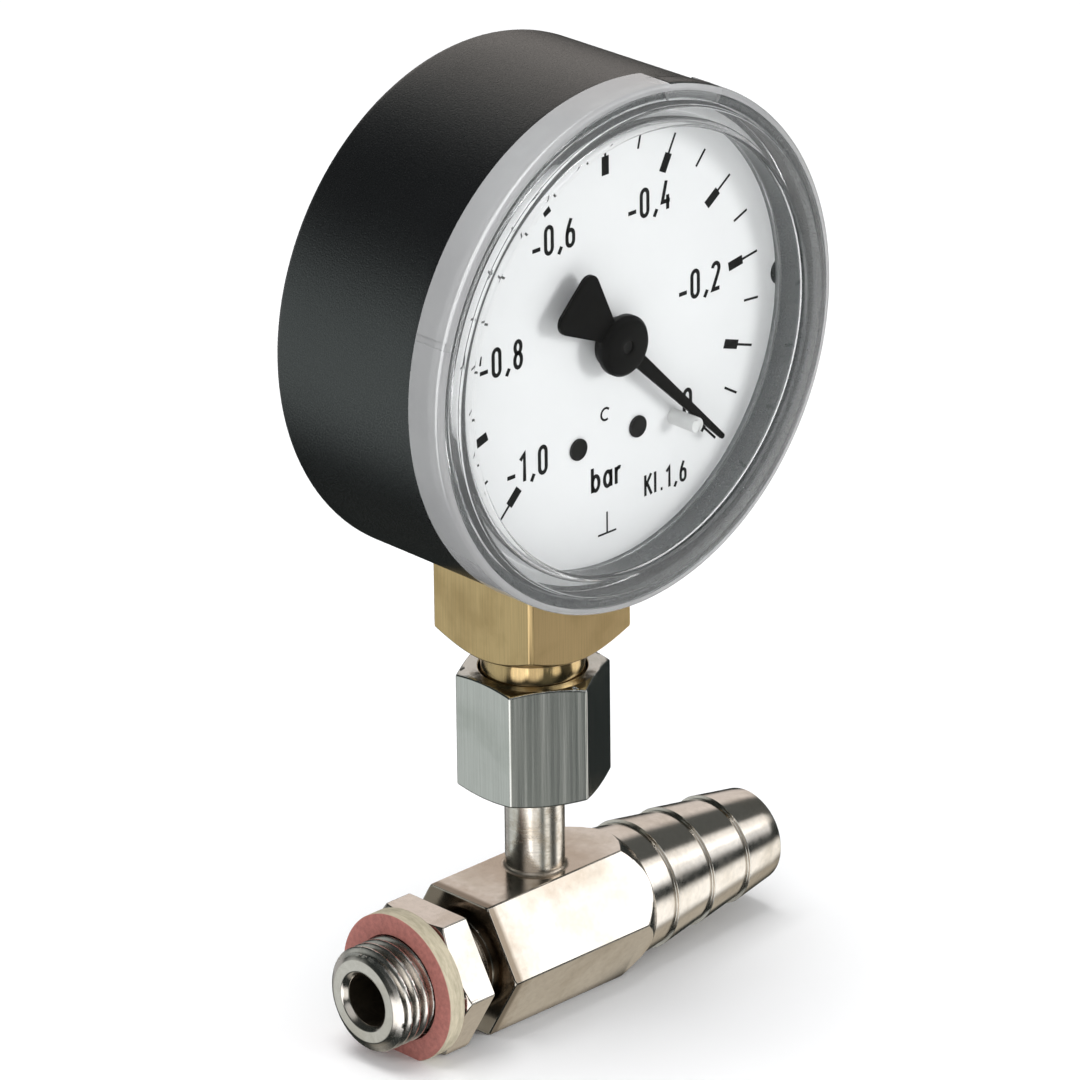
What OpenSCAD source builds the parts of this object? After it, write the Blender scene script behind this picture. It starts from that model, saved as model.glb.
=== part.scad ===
// Vacuum gauge, nominal size 63, on a tee fitting: a male G 1/4 port with lock nut and seal ring
// on one side, a barbed hose tail on the other, and the gauge on a brazed stem with a union nut.
// Frame: X along the tee from port to tail, Z up along the stem, the dial faces -Y.
// The origin is on the port's axis, in the middle of the free thread in front of the seal ring.

/* [Tee] */
// Distance from the middle of the free port thread to the stem's axis
stem_x = 25.7; // [24:0.1:32]
// Width across flats of the tee's hexagon
tee_af = 17; // [16:0.5:19]
// Length of the hexagon on the port side of the stem
hex_front = 12.9; // [11:0.1:13.5]
// Length of the hexagon's corners on the tail side of the stem
hex_back = 9.45; // [9:0.05:12]
// Diameter of the flow bore
bore_d = 6.3; // [5:0.1:7.4]

/* [Port] */
// Outer diameter of the port thread, G 1/4
port_d = 13.16; // [12.9:0.02:13.3]
// Length of the free, full-diameter thread
port_free = 4.7; // [4:0.1:6]
// Length of the thread's lead-in chamfer
port_chamfer = 0.85; // [0.4:0.05:1.2]
// Outer diameter of the seal ring
seal_d = 18.7; // [17:0.1:20]
// Thickness of the seal ring
seal_t = 2.4; // [1.6:0.1:3]
// Thickness of the lock nut
lock_t = 4.55; // [3.5:0.05:5]

/* [Hose tail] */
// Diameter of the first, largest barb
barb_d = 16.7; // [15:0.1:17.4]
// Drop in diameter from each barb to the next
barb_drop = 1.3; // [0.8:0.1:2]
// Distance between barbs
barb_step = 6.85; // [5:0.05:8]
// Diameter of the tail's end
tail_tip_d = 11.4; // [9.5:0.1:12.6]

/* [Stem] */
// Outer diameter of the stem tube
stem_d = 7.3; // [6:0.1:8]
// Height of the union nut's lower face above the port's axis
nut_z = 19.7; // [18.5:0.1:22]
// Height of the union nut
nut_h = 15.3; // [13:0.1:17]
// Width across flats of the union nut
nut_af = 16.5; // [16:0.5:19]
// Angle at which the tightened union nut has come to rest
nut_turn = -1.8; // [-30:0.1:30]
// Diameter of the gauge's own stem thread
socket_thread_d = 13.1; // [12:0.1:13.2]
// Diameter of the neck between union nut and square
neck_d = 12.6; // [10:0.1:12.8]
// Side of the gauge's square
square_w = 17; // [14:0.5:17.5]
// Height of the square's lower face above the port's axis
square_z = 38.1; // [37.5:0.1:42]

/* [Gauge] */
// Height of the dial's centre above the port's axis
gauge_z = 80.8; // [78:0.1:84]
// Outer diameter of the case at its back
case_d = 63.6; // [60:0.1:64]
// Distance from the stem's axis to the back of the case
case_back = 10; // [9:0.1:12]
// Distance from the stem's axis to the front edge of the case
case_front = 16.4; // [15:0.1:18]
// Outer diameter of the window's rim
window_d = 64.4; // [63:0.1:65]
// Distance from the stem's axis to the front of the window
window_front = 19.4; // [18.6:0.1:21]
// Distance from the stem's axis to the face of the dial
dial_f = 13.1; // [12.5:0.1:14]
// Diameter of the dial
dial_d = 58.2; // [56:0.1:58.6]
// Length of the pointer from its centre to its tip
pointer_len = 23.6; // [20:0.1:26]

/* [Movement] */
// Teeth of the pinion
pinion_teeth = 12; // [10:1:14]
// Teeth of a full circle of the sector's pitch
sector_teeth = 96; // [80:8:104]
// Tooth module
gear_module = 0.3; // [0.25:0.01:0.32]
// Length of the sector's tail, from pivot to link pin
tail_arm = 5; // [4:0.1:6]
// Mean radius of the Bourdon tube
tube_r = 23; // [21:0.1:24]

/* [Hidden] */
$fn = 96;
run_gap = 0.06;
slip_gap = 0.08;

// tee, measured along X
port_end_x = -port_free / 2 - port_chamfer;
groove_x = port_free / 2;
seal_x = groove_x + 0.02;
lock_x = seal_x + seal_t + 0.05;
hex_x = stem_x - hex_front;
hex_corner_x = stem_x + hex_back;
hex_corner_r = tee_af / 2 / cos(30);
shoulder_r = tee_af / 2 - 0.06;
shoulder_x = hex_corner_x + 2.9;
barb_x = hex_corner_x + 6.85;
barb_lip = 0.42;
barb_count = 3;
tail_end_x = barb_x + barb_count * barb_step;
bore_r = bore_d / 2;
thread_root_r = 5.72;
port_face_r = 5.2;
groove_r = 5.9;

// stem, measured along Z
stem_r = stem_d / 2;
stem_foot_z = 4.6;
stem_bore_r = 2.2;
collar_z = nut_z + 3.5;
collar_t = 2.4;
collar_r = 6.2;
gasket_t = 1.5;
gasket_r = 6;
washer_t = 0.8;
washer_z = collar_z - washer_t - 0.08;
socket_bore_r = 1.5;
socket_z = collar_z + collar_t + gasket_t + 0.1;
neck_z = nut_z + nut_h - 0.4;

// gauge, measured forward of the stem's axis (towards -Y)
case_r = case_d / 2;
case_wall = 1.7;
shelf_r = 28.3;
seat_r = 29.7;
lug_a = 72;
lug_r = 30.2;
lug_w = 8.4;
lug_h = 1.6;
dial_t = 0.5;
dial_back_f = dial_f - dial_t;
bar_f = [case_wall - case_back, 3.4];
bar_w = 10;
block_top = -28;
bar_top = -9.5;
back_plate_f = [3.4, 4.4];
front_plate_f = [9.6, 10.6];
sector_f = [6.4, 7.4];
pinion_f = [5.9, 7.9];
link_f = [5.6, 6.2];
tube_f = -1.9;
tube_width = 7;
tube_thick = 2.8;
tube_wall = 0.35;
tube_start = 262;
tube_end = -15;

// gearing
pinion_r = pinion_teeth * gear_module / 2;
sector_r = sector_teeth * gear_module / 2;
pivot_v = -(pinion_r + sector_r);
tail_angle = -33;
pin_uv = [tail_arm * cos(tail_angle), pivot_v + tail_arm * sin(tail_angle)];
tip_uv = [19, -10.5];

// radii of the movement's shafts, pins and screws
arbor_r = 0.9;
journal_r = 0.45;
pivot_hole_r = 0.5;
pinion_shaft_r = 0.75;
pinion_hole_r = 0.8;
pillar_r = 1.4;
pillar_screw_r = 0.7;
pillar_hole_r = 0.72;
small_screw_r = 0.8;
small_hole_r = 0.85;
tip_pin_r = 0.48;
case_screw_r = 1.5;
pin_r = 0.95;

// screws, pillars, spring stud and stop pin, as places in the gauge's plane
stud_uv = [-5.2, 0];
stop_pin_path_r = 17;
pillar_uv = [[-6.2, 2.6], [6.2, 2.6], [-5.6, -19]];
dial_screw_uv = [[-4.9, -12.5], [4.9, -12.5]];
movement_screw_uv = [[-2.9, -13], [2.9, -13]];
case_screw_uv = [[0, -14], [0, -26.2]];
stop_pin_uv = stop_pin_path_r * [cos(-50.1), sin(-50.1)];

// rotating shapes about the tee's axis; the profile is radius, x
module about_x() {
    rotate([0, 90, 0]) rotate_extrude() children();
}

// shapes about the stem's axis
module at_stem(z) {
    translate([stem_x, 0, z]) children();
}

// flat shapes in the gauge's plane, from f0 to f1 forward of the stem's axis
module gauge_plate(f) {
    translate([stem_x, 0, gauge_z]) rotate([90, 0, 0]) translate([0, 0, f[0]])
        linear_extrude(f[1] - f[0]) children();
}

// shapes turned about the gauge's axis; the profile is radius, forward distance
module about_gauge() {
    translate([stem_x, 0, gauge_z]) rotate([90, 0, 0]) rotate_extrude() children();
}

module gauge_rod(uv, r, f) {
    gauge_plate(f) translate(uv) circle(r);
}

module rounded_plate(w, h, r) {
    square([w - 2 * r, h], center = true);
    square([w, h - 2 * r], center = true);
    for (i = [-1, 1], j = [-1, 1]) translate([i * (w / 2 - r), j * (h / 2 - r)]) circle(r);
}

module hexagon_x(af, x0, x1) {
    translate([x0, 0, 0]) rotate([0, 90, 0]) rotate([0, 0, 30])
        cylinder(d = af / cos(30), h = x1 - x0, $fn = 6);
}

// ---- tee ----
module tee_hexagon() {
    intersection() {
        hexagon_x(tee_af, hex_x, shoulder_x);
        about_x() polygon([
            [0, hex_x], [hex_corner_r - 0.25, hex_x], [hex_corner_r + 0.1, hex_x + 0.25],
            [hex_corner_r + 0.1, hex_corner_x], [shoulder_r, shoulder_x], [0, shoulder_x]
        ]);
    }
}

module port_stud() {
    about_x() polygon([
        [0, port_end_x], [port_face_r, port_end_x], [thread_root_r, port_end_x + 0.35],
        [port_d / 2, port_end_x + port_chamfer],
        [port_d / 2, groove_x], [groove_r, groove_x + 0.4], [groove_r, groove_x + seal_t],
        [port_d / 2, groove_x + seal_t + 0.4], [port_d / 2, hex_x - 1.2],
        [groove_r, hex_x - 0.8], [groove_r, hex_x + 1], [0, hex_x + 1]
    ]);
}

module hose_tail() {
    r0 = barb_d / 2;
    dr = barb_drop / 2;
    barbs = [for (i = [0:barb_count - 1]) each [
        [r0 - i * dr - barb_lip, barb_x + i * barb_step],
        [r0 - i * dr, barb_x + i * barb_step + 0.08]
    ]];
    about_x() polygon(concat(
        [[0, shoulder_x - 1], [shoulder_r - 0.6, shoulder_x - 1], [shoulder_r, shoulder_x]],
        barbs,
        [[tail_tip_d / 2 + 0.3, tail_end_x - 0.4], [tail_tip_d / 2 - 0.1, tail_end_x], [0, tail_end_x]]
    ));
}

module tee_body() {
    color([0.74, 0.7, 0.62]) difference() {
        union() {
            tee_hexagon();
            port_stud();
            hose_tail();
        }
        about_x() polygon([
            [0, port_end_x - 1], [bore_r + 1.7, port_end_x - 1], [bore_r, port_end_x + 0.7],
            [bore_r, tail_end_x - 0.5], [bore_r + 1.5, tail_end_x + 1], [0, tail_end_x + 1]
        ]);
        at_stem(0) cylinder(r = stem_bore_r, h = tee_af);
        at_stem(stem_foot_z) cylinder(r = stem_r, h = tee_af);
    }
}

module seal_ring() {
    color([0.72, 0.4, 0.38]) translate([seal_x, 0, 0]) rotate([0, 90, 0]) difference() {
        cylinder(d = seal_d, h = seal_t);
        translate([0, 0, -1]) cylinder(r = port_d / 2 + slip_gap, h = seal_t + 2);
    }
}

module lock_nut() {
    r_face = tee_af / 2 - 0.1;
    x1 = lock_x + lock_t;
    color([0.74, 0.7, 0.62]) difference() {
        intersection() {
            hexagon_x(tee_af, lock_x, x1);
            about_x() polygon([
                [0, lock_x], [r_face, lock_x], [hex_corner_r + 0.1, lock_x + 0.75],
                [hex_corner_r + 0.1, x1 - 0.1], [hex_corner_r - 0.2, x1], [0, x1]
            ]);
        }
        translate([lock_x - 1, 0, 0]) rotate([0, 90, 0]) cylinder(r = port_d / 2 + run_gap, h = lock_t + 2);
    }
}

// ---- stem ----
module stem_tube() {
    color([0.75, 0.74, 0.7]) at_stem(0) rotate_extrude() polygon([
        [stem_bore_r, stem_foot_z], [stem_r, stem_foot_z], [stem_r, collar_z], [collar_r, collar_z],
        [collar_r, collar_z + collar_t], [stem_bore_r, collar_z + collar_t]
    ]);
}

module braze_fillet() {
    reach = 0.5;
    steps = 6;
    arc = [for (i = [0:steps]) [
        stem_r + reach - reach * sin(90 * i / steps), tee_af / 2 + reach - reach * cos(90 * i / steps)
    ]];
    color([0.8, 0.66, 0.4]) at_stem(0) rotate_extrude()
        polygon(concat([[stem_r, tee_af / 2]], arc));
}

module flat_gasket() {
    color([0.25, 0.22, 0.2]) at_stem(collar_z + collar_t + 0.05) difference() {
        cylinder(r = gasket_r, h = gasket_t);
        translate([0, 0, -1]) cylinder(r = stem_bore_r + 0.3, h = gasket_t + 2);
    }
}

module thrust_washer() {
    color([0.8, 0.7, 0.4]) at_stem(washer_z) difference() {
        cylinder(r = collar_r, h = washer_t);
        translate([0, 0, -1]) cylinder(r = stem_r + run_gap, h = 3);
    }
}

module union_nut() {
    corner_r = nut_af / 2 / cos(30);
    face_r = nut_af / 2 - 0.2;
    shoulder_t = 2.6;
    edge = 0.5;
    color([0.6, 0.6, 0.57]) at_stem(nut_z) difference() {
        intersection() {
            rotate([0, 0, 30 + nut_turn]) cylinder(r = corner_r, h = nut_h, $fn = 6);
            rotate_extrude() polygon([
                [0, 0], [face_r, 0], [corner_r + 0.1, edge], [corner_r + 0.1, nut_h - edge],
                [face_r, nut_h], [0, nut_h]
            ]);
        }
        translate([0, 0, -1]) cylinder(r = stem_r + slip_gap, h = shoulder_t + 2);
        translate([0, 0, shoulder_t]) cylinder(r = socket_thread_d / 2 + run_gap, h = nut_h);
    }
}

// ---- gauge socket: thread, neck, square and the bar inside the case ----
module tube_section(grow) {
    w = tube_width + 2 * grow;
    t = tube_thick + 2 * grow;
    square([t, w - t], center = true);
    for (i = [-1, 1]) translate([0, i * (w - t) / 2]) circle(t / 2);
}

module tube_sweep(a0, a1) {
    translate([stem_x, -tube_f, gauge_z]) rotate([90, 0, 0]) rotate([0, 0, a0])
        rotate_extrude(angle = a1 - a0) translate([tube_r, 0]) children();
}

module gauge_socket() {
    square_top = gauge_z + block_top - square_z;
    corner_r = square_w / sqrt(2) - 0.32;
    bar_h = bar_top - block_top;
    color([0.78, 0.63, 0.35]) difference() {
        union() {
            at_stem(0) rotate_extrude() polygon([
                [0, socket_z], [socket_thread_d / 2 - 0.8, socket_z], [socket_thread_d / 2, socket_z + 0.8],
                [socket_thread_d / 2, neck_z], [neck_d / 2, neck_z + 0.5], [neck_d / 2, square_z + 1],
                [0, square_z + 1]
            ]);
            intersection() {
                at_stem(square_z + square_top / 2) cube([square_w, square_w, square_top], center = true);
                at_stem(square_z) rotate_extrude() polygon([
                    [0, 0], [square_w / 2 - 0.3, 0], [corner_r, (corner_r - square_w / 2 + 0.3) / sqrt(3)],
                    [corner_r, square_top], [0, square_top]
                ]);
            }
            gauge_plate(bar_f) translate([0, block_top + bar_h / 2]) rounded_plate(bar_w, bar_h, 1.2);
            gauge_plate(bar_f) translate([0, block_top + 0.5]) square([bar_w, 3], center = true);
        }
        at_stem(socket_z - 1) cylinder(r = socket_bore_r, h = gauge_z - tube_r - socket_z + 1);
        tube_sweep(tube_start + 8, tube_end) tube_section(0.02);
        for (uv = movement_screw_uv) gauge_rod(uv, small_screw_r + 0.02, [-1, 4]);
        for (uv = case_screw_uv) gauge_rod(uv, case_screw_r + 0.02, [-9, -2.4]);
        gauge_rod([0, pivot_v], 1.2, [1.4, 4]);
    }
}

// ---- case ----
module case_shell() {
    fillet = 1.4;
    hole_h = 9;
    color([0.1, 0.1, 0.1]) difference() {
        union() {
            about_gauge() polygon(concat(
                [[0, -case_back]],
                [for (i = [0:8]) [
                    case_r - fillet + fillet * sin(90 * i / 8), -case_back + fillet - fillet * cos(90 * i / 8)
                ]],
                [[case_r + 0.25, case_front], [seat_r, case_front], [seat_r, dial_back_f],
                 [shelf_r, dial_back_f], [shelf_r, case_wall - case_back], [0, case_wall - case_back]]
            ));
            gauge_plate([case_front - 1, case_front + lug_h]) intersection() {
                difference() {
                    circle(window_d / 2);
                    circle(lug_r);
                }
                rotate(lug_a) translate([window_d / 2 - 1, 0]) square([6, lug_w], center = true);
            }
        }
        at_stem(gauge_z + block_top - hole_h / 2 + 0.3)
            cube([square_w + 0.04, square_w + 0.04, hole_h], center = true);
        for (uv = case_screw_uv) gauge_rod(uv, case_screw_r + 0.2, [-case_back - 1, -7]);
    }
}

module case_screws() {
    head_r = 2.7;
    slot_w = 0.6;
    slot_l = 3.2;
    color([0.7, 0.7, 0.7]) for (uv = case_screw_uv) difference() {
        union() {
            gauge_rod(uv, head_r, [-case_back - 1.5, -case_back]);
            gauge_rod(uv, case_screw_r, [-case_back - 0.1, -3]);
        }
        gauge_plate([-case_back - 2, -case_back - 0.8]) translate(uv) {
            square([slot_l, slot_w], center = true);
            square([slot_w, slot_l], center = true);
        }
    }
}

module window() {
    rim_r = window_d / 2;
    pane_r = 29.5;
    rim_f = [case_front + 0.05, window_front - 0.9];
    skirt_r = [28.1, 29.6];
    bead_r = 27.3;
    bead_h = 0.35;
    color([0.85, 0.88, 0.88, 0.35]) difference() {
        about_gauge() polygon([
            [0, window_front - 1.3], [skirt_r[0], window_front - 1.3], [skirt_r[0], dial_f + 0.1],
            [skirt_r[1], dial_f + 0.1], [skirt_r[1], rim_f[0]], [rim_r, rim_f[0]],
            [rim_r, rim_f[1] - 0.3], [rim_r - 0.35, rim_f[1]], [pane_r + 0.75, rim_f[1]],
            [pane_r, window_front], [bead_r + 0.15, window_front], [bead_r - 0.15, window_front - bead_h],
            [0, window_front - bead_h]
        ]);
        gauge_plate([case_front - 1, case_front + lug_h + 0.3]) intersection() {
            difference() {
                circle(rim_r + 1);
                circle(lug_r - 0.2);
            }
            rotate(lug_a) translate([rim_r - 1, 0]) square([7, lug_w + 0.6], center = true);
        }
    }
}

// ---- dial ----
module dial() {
    centre_hole_r = 1.6;
    edge_notch_r = 1.8;
    color([0.93, 0.93, 0.92]) gauge_plate([dial_back_f, dial_f]) difference() {
        circle(dial_d / 2);
        circle(centre_hole_r);
        translate([dial_d / 2 + 0.1, 0.3]) circle(edge_notch_r);
        for (uv = dial_screw_uv) translate(uv) circle(small_hole_r);
        translate(stop_pin_uv) circle(pin_r + 0.02);
    }
}

module dial_screws() {
    head_r = 1.35;
    head_t = 0.3;
    color([0.2, 0.2, 0.2]) for (uv = dial_screw_uv) {
        gauge_rod(uv, head_r, [dial_f, dial_f + head_t]);
        gauge_rod(uv, small_screw_r, [front_plate_f[0], dial_f + 0.1]);
    }
}

module dial_spacers() {
    color([0.8, 0.66, 0.36]) for (uv = dial_screw_uv)
        gauge_plate([front_plate_f[1], dial_back_f]) translate(uv) difference() {
            circle(1.7);
            circle(small_hole_r);
        }
}

module stop_pin() {
    pin_h = 4.1;
    foot_r = 1.6;
    color([0.9, 0.9, 0.88]) {
        gauge_rod(stop_pin_uv, pin_r, [dial_back_f, dial_f + pin_h]);
        gauge_rod(stop_pin_uv, foot_r, [dial_back_f - 0.6, dial_back_f]);
    }
}

// ---- pointer, drawn at zero: the needle points 45 degrees below the right-hand side ----
module needle_outline() {
    fan_r = 11.75;
    fan_a = 13.8;
    fan_round = 1.5;
    hull() {
        translate([2.5, 0]) circle(0.95, $fn = 32);
        translate([pointer_len - 0.35, 0]) circle(0.35, $fn = 32);
    }
    hull() {
        for (i = [-1, 1]) {
            rotate(180 + i * fan_a) translate([fan_r - fan_round, 0]) circle(fan_round, $fn = 32);
            translate([-2.4, i * 0.75]) circle(0.3, $fn = 32);
        }
    }
}

module pointer() {
    hub_r = 3.75;
    needle_f = dial_f + 2.3;
    needle_t = 0.5;
    color([0.06, 0.06, 0.06]) difference() {
        union() {
            gauge_plate([needle_f, needle_f + needle_t]) rotate(-45) needle_outline();
            about_gauge() polygon([
                [0, dial_f + 1.1], [hub_r - 0.65, dial_f + 1.1], [hub_r - 0.65, needle_f],
                [hub_r, needle_f], [hub_r, needle_f + 0.8], [hub_r - 0.45, needle_f + 1.3],
                [0, needle_f + 1.45]
            ]);
        }
        gauge_rod([0, 0], pinion_shaft_r + 0.01, [dial_f, dial_f + 4]);
    }
}

module gear_teeth(teeth, a0, a1, r_pitch, m) {
    for (a = [a0:360 / teeth:a1]) rotate(a) polygon([
        [r_pitch - 1.3 * m, -0.95 * m], [r_pitch, -0.68 * m], [r_pitch + 0.85 * m, -0.3 * m],
        [r_pitch + 0.85 * m, 0.3 * m], [r_pitch, 0.68 * m], [r_pitch - 1.3 * m, 0.95 * m]
    ]);
}

module pinion_arbor() {
    root_r = pinion_r - 1.2 * gear_module;
    color([0.75, 0.75, 0.75]) union() {
        gauge_plate(pinion_f) {
            circle(root_r);
            gear_teeth(pinion_teeth, 15, 359, pinion_r, gear_module);
        }
        gauge_rod([0, 0], arbor_r, [back_plate_f[1] + 0.1, pinion_f[0] + 0.1]);
        gauge_rod([0, 0], pinion_shaft_r, [pinion_f[1] - 0.1, dial_f + 3.5]);
        gauge_rod([0, 0], journal_r, [back_plate_f[0] + 0.1, back_plate_f[1] + 0.2]);
    }
}

module hairspring() {
    turns = 4.5;
    r0 = 1.55;
    r1 = 4.6;
    w = 0.12;
    steps = 162;
    outer = [for (i = [0:steps]) let (k = i / steps, a = 360 * turns * k, r = r0 + (r1 - r0) * k + w / 2)
        [r * cos(a), r * sin(a)]];
    inner = [for (i = [steps:-1:0]) let (k = i / steps, a = 360 * turns * k, r = r0 + (r1 - r0) * k - w / 2)
        [r * cos(a), r * sin(a)]];
    color([0.8, 0.7, 0.4]) gauge_plate([8.4, 8.9]) polygon(concat(outer, inner));
}

module hairspring_collet() {
    color([0.8, 0.66, 0.36]) gauge_plate([8.2, 9.1]) difference() {
        circle(1.45);
        circle(pinion_shaft_r + 0.02);
    }
}

module hairspring_stud() {
    color([0.8, 0.66, 0.36]) gauge_rod(stud_uv, 0.55, [back_plate_f[1], 9.3]);
}

module sector_gear() {
    half_a = 25;
    rim_w = 1.6;
    boss_r = 2.4;
    tail_w = 2.2;
    reach = sector_r + 5.6;
    color([0.8, 0.66, 0.36]) difference() {
        gauge_plate(sector_f) translate([0, pivot_v]) difference() {
            union() {
                intersection() {
                    union() {
                        circle(sector_r - 1.2 * gear_module);
                        gear_teeth(sector_teeth, 90 - 22.5, 90 + 22.5, sector_r, gear_module);
                    }
                    polygon([[0, 0], reach * [cos(99 + half_a), sin(99 + half_a)], [-4, reach + 2],
                        [4, reach + 2], reach * [cos(91 - half_a), sin(91 - half_a)]]);
                }
                circle(boss_r);
                rotate(tail_angle) translate([0, -tail_w / 2]) square([tail_arm, tail_w]);
                rotate(tail_angle) translate([tail_arm, 0]) circle(tail_w / 2);
            }
            intersection() {
                difference() {
                    circle(sector_r - 0.6 - rim_w);
                    circle(boss_r + 1);
                }
                polygon([[0, 1.6], reach * [cos(118), sin(118)], reach * [cos(72), sin(72)]]);
            }
            circle(arbor_r + 0.02);
            rotate(tail_angle) translate([tail_arm, 0]) circle(journal_r + 0.02);
        }
    }
}

module sector_arbor() {
    color([0.75, 0.75, 0.75]) {
        gauge_rod([0, pivot_v], arbor_r, [back_plate_f[1] + 0.1, front_plate_f[0] - 0.1]);
        gauge_rod([0, pivot_v], journal_r, [back_plate_f[0] + 0.1, front_plate_f[1] - 0.1]);
    }
}

module sector_pin() {
    color([0.75, 0.75, 0.75]) gauge_rod(pin_uv, journal_r, [link_f[0] - 0.3, sector_f[1] + 0.2]);
}

module plate_outline() {
    translate([0, -8.2]) rounded_plate(16, 25.6, 3);
}

module movement_back_plate() {
    color([0.82, 0.68, 0.38]) gauge_plate(back_plate_f) difference() {
        plate_outline();
        circle(pivot_hole_r);
        translate([0, pivot_v]) circle(pivot_hole_r);
        for (uv = movement_screw_uv) translate(uv) circle(small_hole_r);
        for (uv = pillar_uv) translate(uv) circle(pillar_hole_r);
        translate(stud_uv) circle(0.56);
    }
}

module movement_front_plate() {
    color([0.82, 0.68, 0.38]) gauge_plate(front_plate_f) difference() {
        plate_outline();
        circle(pinion_hole_r);
        translate([0, pivot_v]) circle(pivot_hole_r);
        for (uv = dial_screw_uv) translate(uv) circle(small_screw_r + 0.02);
        for (uv = pillar_uv) translate(uv) circle(pillar_hole_r);
    }
}

module movement_pillars() {
    color([0.8, 0.66, 0.36]) for (uv = pillar_uv)
        gauge_plate([back_plate_f[1], front_plate_f[0]]) translate(uv) difference() {
            circle(pillar_r);
            circle(pillar_hole_r);
        }
}

module pillar_screws() {
    color([0.7, 0.7, 0.7]) for (uv = pillar_uv) difference() {
        union() {
            gauge_rod(uv, pillar_r, [front_plate_f[1], front_plate_f[1] + 0.8]);
            gauge_rod(uv, pillar_screw_r, [back_plate_f[0], front_plate_f[1] + 0.1]);
        }
        gauge_plate([front_plate_f[1] + 0.4, front_plate_f[1] + 1]) translate(uv) rotate(35)
            square([4, 0.35], center = true);
    }
}

module movement_screws() {
    color([0.7, 0.7, 0.7]) for (uv = movement_screw_uv) difference() {
        union() {
            gauge_rod(uv, 1.5, [back_plate_f[1], back_plate_f[1] + 0.9]);
            gauge_rod(uv, small_screw_r, [0, back_plate_f[1] + 0.1]);
        }
        gauge_plate([back_plate_f[1] + 0.5, back_plate_f[1] + 1]) translate(uv)
            square([4, 0.4], center = true);
    }
}

// ---- Bourdon tube, tip and link ----
module bourdon_tube() {
    color([0.85, 0.72, 0.42]) tube_sweep(tube_start, tube_end) difference() {
        tube_section(0);
        tube_section(-tube_wall);
    }
}

module tube_tip() {
    plug = [2.6, 2.55];
    color([0.8, 0.66, 0.36]) difference() {
        union() {
            gauge_plate([tube_f - 3.4, tube_f + 3.4]) rotate(tube_end) translate([tube_r - 1.3, -2.6])
                square(plug);
            gauge_plate([tube_f + 1.4, 5.2]) union() {
                rotate(tube_end) translate([tube_r - 1.3, -2.6]) square(plug);
                translate(tip_uv) circle(1.5);
                polygon([[21.9, -6.2], [22.6, -8.4], [20, -11.6], [17.9, -9.6]]);
            }
        }
        gauge_rod(tip_uv, tip_pin_r + 0.02, [-2, 6]);
    }
}

module tip_pin() {
    color([0.75, 0.75, 0.75]) gauge_rod(tip_uv, tip_pin_r, [1, 6.5]);
}

module link_bar() {
    span = tip_uv - pin_uv;
    len = norm(span);
    a = atan2(span[1], span[0]);
    eye_r = 1.25;
    bar_w = 1.2;
    free_eye_r = journal_r + 0.35;
    color([0.8, 0.66, 0.36]) gauge_plate(link_f) translate(pin_uv) rotate(a) difference() {
        union() {
            circle(eye_r);
            translate([len, 0]) circle(eye_r);
            translate([0, -bar_w / 2]) square([len, bar_w]);
        }
        circle(free_eye_r);
        translate([len, 0]) circle(tip_pin_r + 0.05);
    }
}

tee_body();
seal_ring();
lock_nut();
stem_tube();
braze_fillet();
flat_gasket();
thrust_washer();
union_nut();
gauge_socket();
case_shell();
case_screws();
window();
dial();
dial_screws();
dial_spacers();
stop_pin();
pointer();
pinion_arbor();
hairspring();
hairspring_collet();
hairspring_stud();
sector_gear();
sector_arbor();
sector_pin();
movement_back_plate();
movement_front_plate();
movement_pillars();
pillar_screws();
movement_screws();
bourdon_tube();
tube_tip();
tip_pin();
link_bar();
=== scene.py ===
# A vacuum gauge on a tee fitting. Everything is in metres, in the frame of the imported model:
# X along the tee, Z up along the stem, and the dial faces -Y.
import bmesh
import bpy
import math
from mathutils import Matrix, Vector


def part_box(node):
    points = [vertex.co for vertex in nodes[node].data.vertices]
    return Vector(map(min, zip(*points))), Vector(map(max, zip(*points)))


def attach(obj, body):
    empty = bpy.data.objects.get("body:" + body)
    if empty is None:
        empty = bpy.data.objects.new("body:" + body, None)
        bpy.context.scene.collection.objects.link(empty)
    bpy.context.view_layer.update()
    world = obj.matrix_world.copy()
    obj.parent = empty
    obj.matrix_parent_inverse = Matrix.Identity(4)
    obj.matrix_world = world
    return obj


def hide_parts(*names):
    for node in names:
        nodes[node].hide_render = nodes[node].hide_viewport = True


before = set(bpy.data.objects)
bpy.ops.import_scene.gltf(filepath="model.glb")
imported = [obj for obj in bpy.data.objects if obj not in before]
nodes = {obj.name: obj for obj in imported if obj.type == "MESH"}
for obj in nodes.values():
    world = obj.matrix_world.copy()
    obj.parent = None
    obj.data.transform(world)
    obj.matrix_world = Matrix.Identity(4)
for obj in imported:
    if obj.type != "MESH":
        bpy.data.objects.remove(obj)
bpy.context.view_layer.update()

MM = 0.001

# ---------------------------------------------------------------- places, from the frame


def centre(node):
    lo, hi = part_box(node)
    return (lo + hi) / 2


STEM_X = centre("stem_tube").x
GAUGE_Z = centre("pinion_arbor").z
DIAL_FACE = -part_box("dial")[0].y
RIM_R = (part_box("window")[1].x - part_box("window")[0].x) / 2
RIM_BACK = -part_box("window")[1].y
PANE_FRONT = -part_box("window")[0].y
FLOOR_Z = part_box("tee_body")[0].z
FLOOR_GAP = 0.00005
FLOOR_R = 12
BLOCK_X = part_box("lock_nut")[1].x / MM
NUT_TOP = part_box("union_nut")[1].z / MM

# ---------------------------------------------------------------- camera

AZIMUTH = math.radians(-44.05)
ELEVATION = math.radians(23.61)
ROLL = math.radians(-0.69)
DISTANCE = 1.0437
AIM_HEIGHT = 0.05118
AIM_SIDE = 0.00104
LENS = 292
SENSOR = 36


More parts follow.
